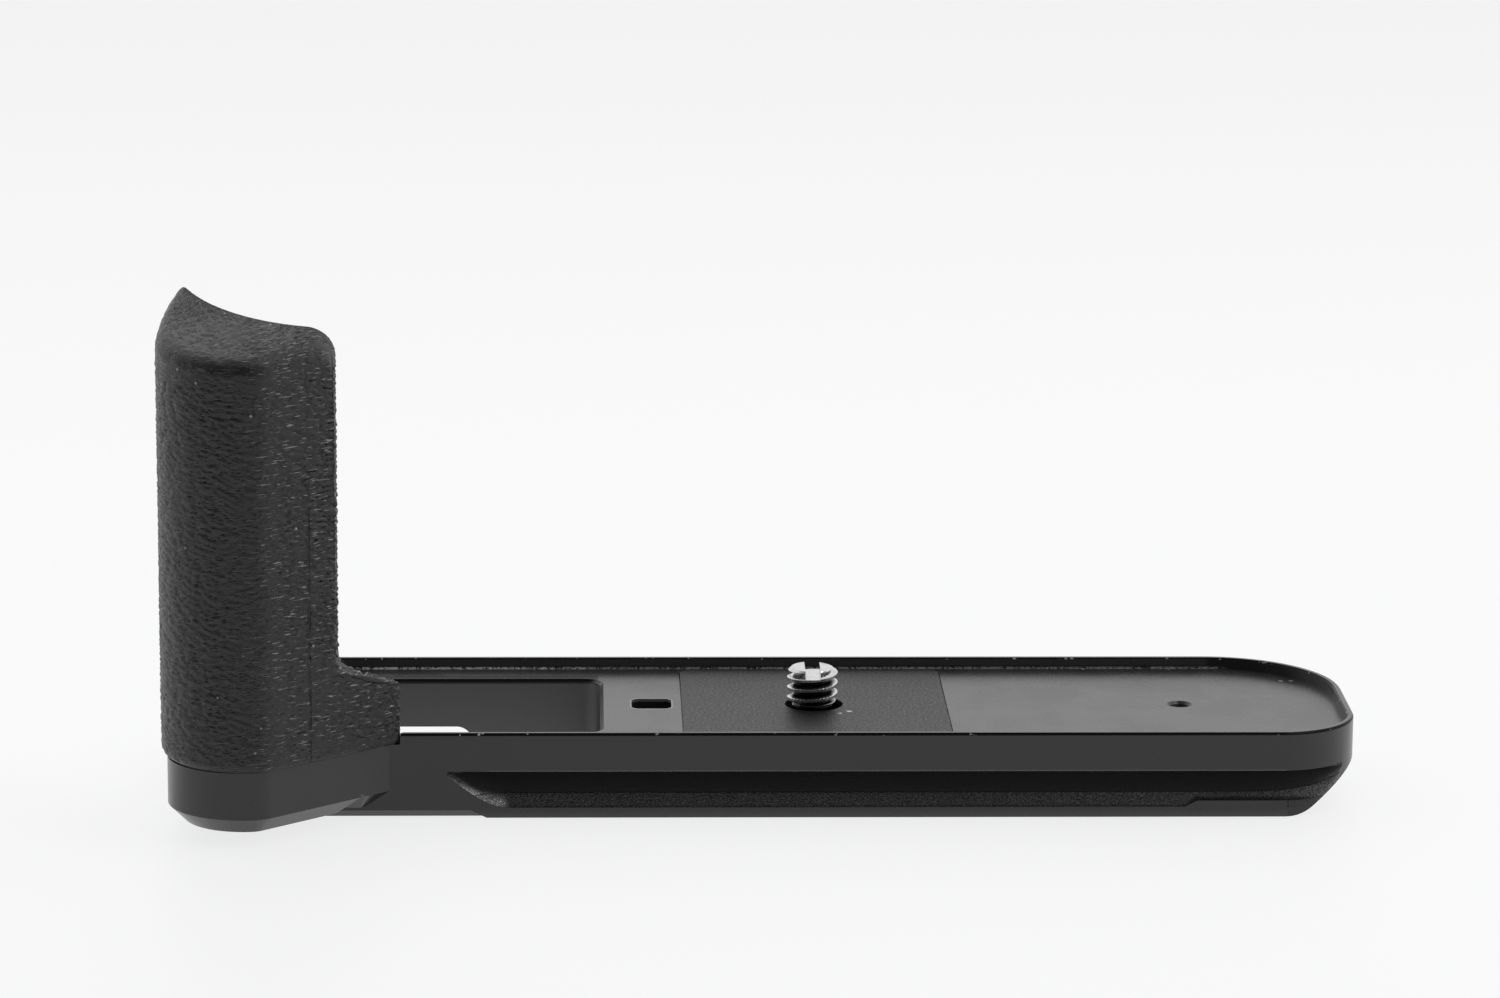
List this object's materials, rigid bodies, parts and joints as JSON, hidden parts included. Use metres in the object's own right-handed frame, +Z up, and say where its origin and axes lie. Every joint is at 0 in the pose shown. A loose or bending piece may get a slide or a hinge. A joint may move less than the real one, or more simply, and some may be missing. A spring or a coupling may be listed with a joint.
{
  "type": "camera hand grip",
  "caption": "Screw-on camera base plate with a rubber-covered finger column, a tray deck, a dovetail foot, a battery opening and a captive camera screw.",
  "frame": {"origin": "on the camera screw's axis, at the plate's underside, midway across the dovetail", "axes": "+X along the plate away from the finger column, +Y towards the camera's back, +Z up out of the deck"},
  "size_m": [0.1469, 0.0518, 0.0642],
  "materials": {
    "plate_anodised": "black anodised, satin",
    "pad_rubber": "fine matte",
    "screw_steel": "turned, bright",
    "ring_steel": "spring steel",
    "bush_steel": "turned",
    "core_plastic": "fine spark-eroded matte",
    "skin_rubber": "leather grain",
    "black_steel": "black oxide"
  },
  "bodies": {
    "base": {"base_plate": "plate_anodised", "seat_pad": "pad_rubber", "tripod_bush": "bush_steel", "grip_core": "core_plastic", "grip_skin": "skin_rubber", "column_screws": "black_steel"},
    "ring": {"retaining_ring": "ring_steel"},
    "screw": {"camera_screw": "screw_steel"}
  },
  "joints": [
    {"name": "screw_float", "type": "slide", "parent": "base", "child": "ring", "axis": [0, 0, 1], "range_m": [0, 0.00078]},
    {"name": "screw_turn", "type": "hinge", "parent": "ring", "child": "screw", "pos_m": [0, 0, 0.007], "axis": [0, 0, 1], "continuous": true}
  ]
}
